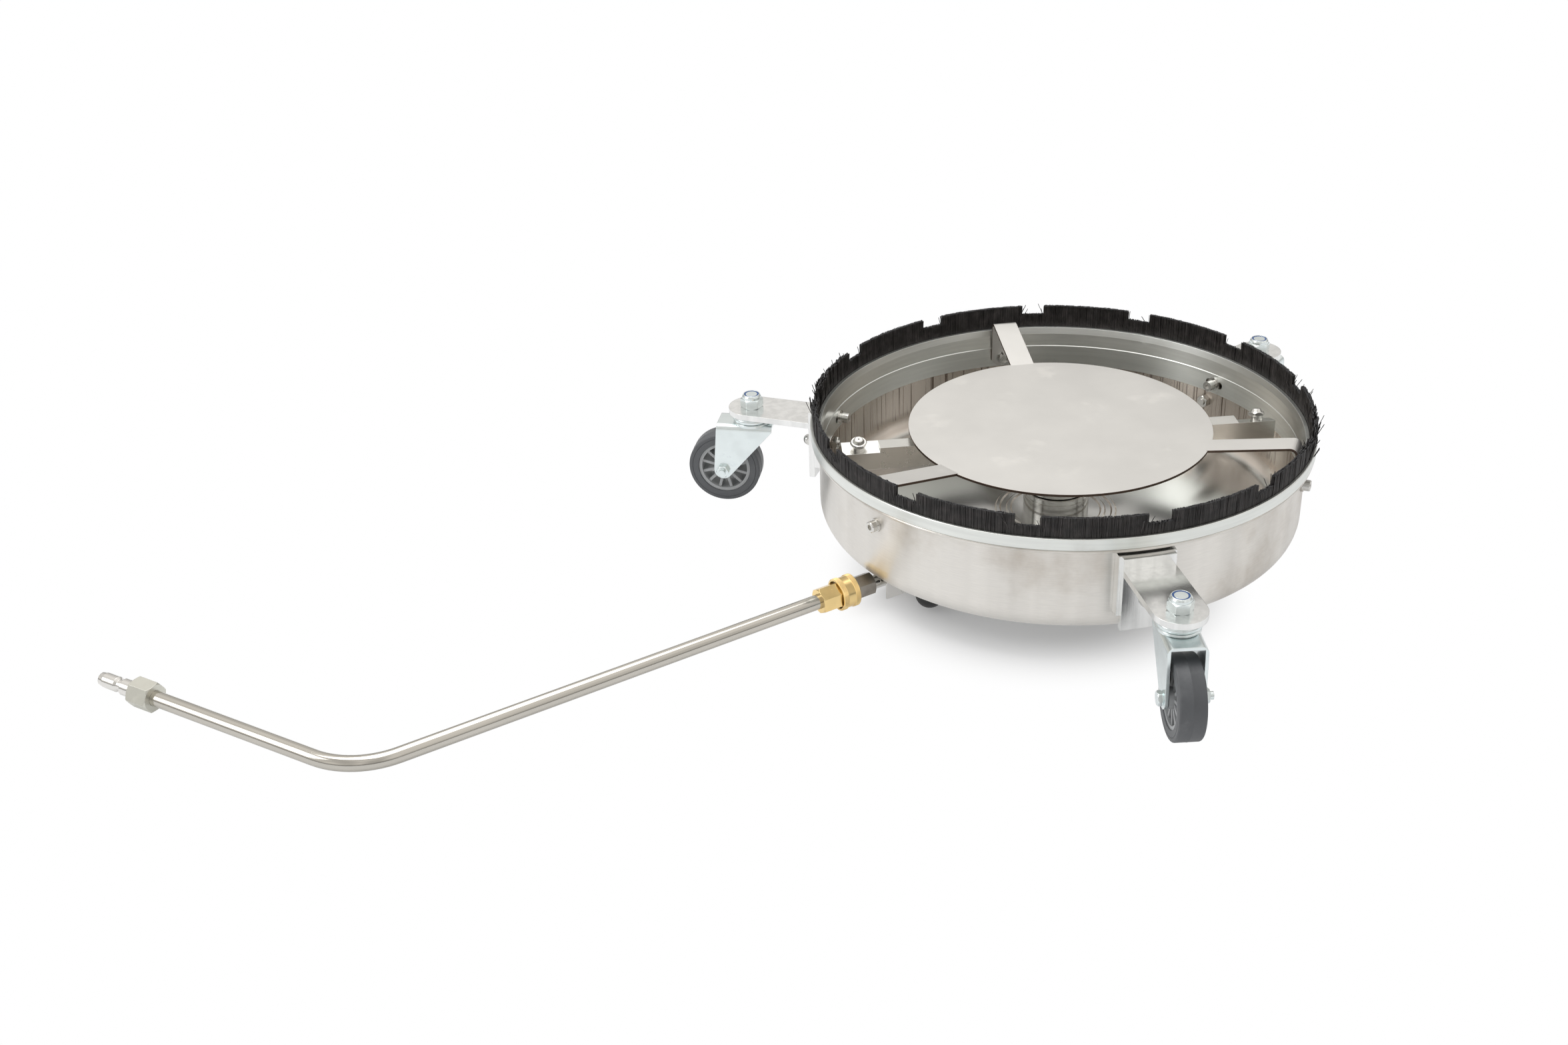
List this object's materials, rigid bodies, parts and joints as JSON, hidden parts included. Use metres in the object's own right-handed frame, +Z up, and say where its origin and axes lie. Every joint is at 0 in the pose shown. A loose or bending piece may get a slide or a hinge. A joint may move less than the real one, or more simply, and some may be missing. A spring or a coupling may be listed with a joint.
{
  "type": "rotary surface cleaner",
  "caption": "Round rotary surface cleaner lying brush-up on its castors: dish with brush ring, guarded spray arm on a swivel, bent lance with a quick coupler.",
  "frame": {"origin": "on the floor, straight below the rotor axis, with the unit lying on its castors and its brush up", "axes": "+Z up along the rotor axis; -X along the lance, away from the dish; +Y to the side the lance bends to"},
  "size_m": [1.0617, 0.5551, 0.1283],
  "materials": {
    "stainless": "satin, lightly brushed round the wall",
    "bright_steel": "fine turned",
    "guard_sheet": "bead blasted, pale",
    "aluminium": "bare, satin",
    "zinc_steel": "bright blue zinc plate",
    "dark_steel": "darkened stainless",
    "bearing_steel": "ground and polished",
    "brass": "bright, knurled",
    "rubber": "matt black",
    "tyre": "smooth grey rubber",
    "hub_plastic": "moulded grey",
    "nylon": "black filaments"
  },
  "bodies": {
    "root": {"dish_shell": "stainless", "brush_holder_ring": "aluminium", "brush_strip": "nylon", "ring_screws": "bright_steel", "ring_sleeve_nuts": "bright_steel", "guard_plate": "guard_sheet", "swivel_base": "bright_steel", "swivel_housing": "bright_steel", "bearing_cap": "bright_steel", "swivel_screws": "bright_steel", "bearing_outer_rings": "bearing_steel", "bearing_balls": "bearing_steel", "shaft_seal": "rubber", "inlet_pipe": "stainless", "inlet_saddle": "stainless", "saddle_screws": "bright_steel", "inlet_adapter": "dark_steel", "coupler_nipple": "bright_steel", "rubber_feet": "rubber", "caster_bracket_a": "aluminium", "caster_bracket_b": "aluminium", "caster_bracket_c": "aluminium", "bracket_spacers": "aluminium", "bracket_bolts": "bright_steel", "bracket_nuts": "bright_steel", "swivel_races": "zinc_steel", "stem_bolts": "zinc_steel", "stem_nuts": "zinc_steel"},
    "rotor": {"bearing_inner_rings": "bearing_steel", "rotor_shaft": "bright_steel", "shaft_circlip": "bright_steel", "rotor_hub": "bright_steel", "rotor_arm": "aluminium", "rotor_arm_screws": "bright_steel", "spray_pipes": "bright_steel", "nozzle_sockets": "bright_steel", "spray_nozzles": "bright_steel"},
    "lance": {"coupler_body": "brass", "coupler_balls": "bearing_steel", "coupler_spring": "bright_steel", "coupler_seal": "rubber", "lance_tube": "stainless", "lance_nut": "stainless", "quick_plug": "stainless"},
    "sleeve": {"coupler_sleeve": "brass"},
    "swivel_a": {"fork_a": "zinc_steel", "race_balls_a": "bearing_steel", "axle_a": "zinc_steel"},
    "wheel_a": {"wheel_hub_a": "hub_plastic", "tyre_a": "tyre"},
    "swivel_b": {"fork_b": "zinc_steel", "race_balls_b": "bearing_steel", "axle_b": "zinc_steel"},
    "wheel_b": {"wheel_hub_b": "hub_plastic", "tyre_b": "tyre"},
    "swivel_c": {"fork_c": "zinc_steel", "race_balls_c": "bearing_steel", "axle_c": "zinc_steel"},
    "wheel_c": {"wheel_hub_c": "hub_plastic", "tyre_c": "tyre"}
  },
  "joints": [
    {"name": "rotor_spin", "type": "hinge", "parent": "root", "child": "rotor", "pos_m": [0, 0, 0.05], "axis": [0, 0, 1], "continuous": true},
    {"name": "caster_swivel_a", "type": "hinge", "parent": "root", "child": "swivel_a", "pos_m": [0.26393, 0.04654, 0.08], "axis": [0, 0, 1], "continuous": true},
    {"name": "wheel_spin_a", "type": "hinge", "parent": "swivel_a", "child": "wheel_a", "pos_m": [0.28677, 0.05671, 0.03175], "axis": [0.4067, -0.9135, 0], "continuous": true},
    {"name": "caster_swivel_b", "type": "hinge", "parent": "root", "child": "swivel_b", "pos_m": [-0.17227, 0.2053, 0.08], "axis": [0, 0, 1], "continuous": true},
    {"name": "wheel_spin_b", "type": "hinge", "parent": "swivel_b", "child": "wheel_b", "pos_m": [-0.19113, 0.2217, 0.03175], "axis": [0.6561, 0.7547, 0], "continuous": true},
    {"name": "caster_swivel_c", "type": "hinge", "parent": "root", "child": "swivel_c", "pos_m": [-0.09166, -0.25184, 0.08], "axis": [0, 0, 1], "continuous": true},
    {"name": "wheel_spin_c", "type": "hinge", "parent": "swivel_c", "child": "wheel_c", "pos_m": [-0.1034, -0.27391, 0.03175], "axis": [-0.8829, 0.4695, 0], "continuous": true},
    {"name": "lance_turn", "type": "hinge", "parent": "root", "child": "lance", "pos_m": [-0.19994, 0, 0.01602], "axis": [-0.9997, 0, -0.024], "continuous": true},
    {"name": "sleeve_pull", "type": "slide", "parent": "lance", "child": "sleeve", "axis": [-0.9997, 0, -0.024], "range_m": [0, 0.004], "stiffness_N_per_m": 600, "springref_m": -0.001}
  ]
}
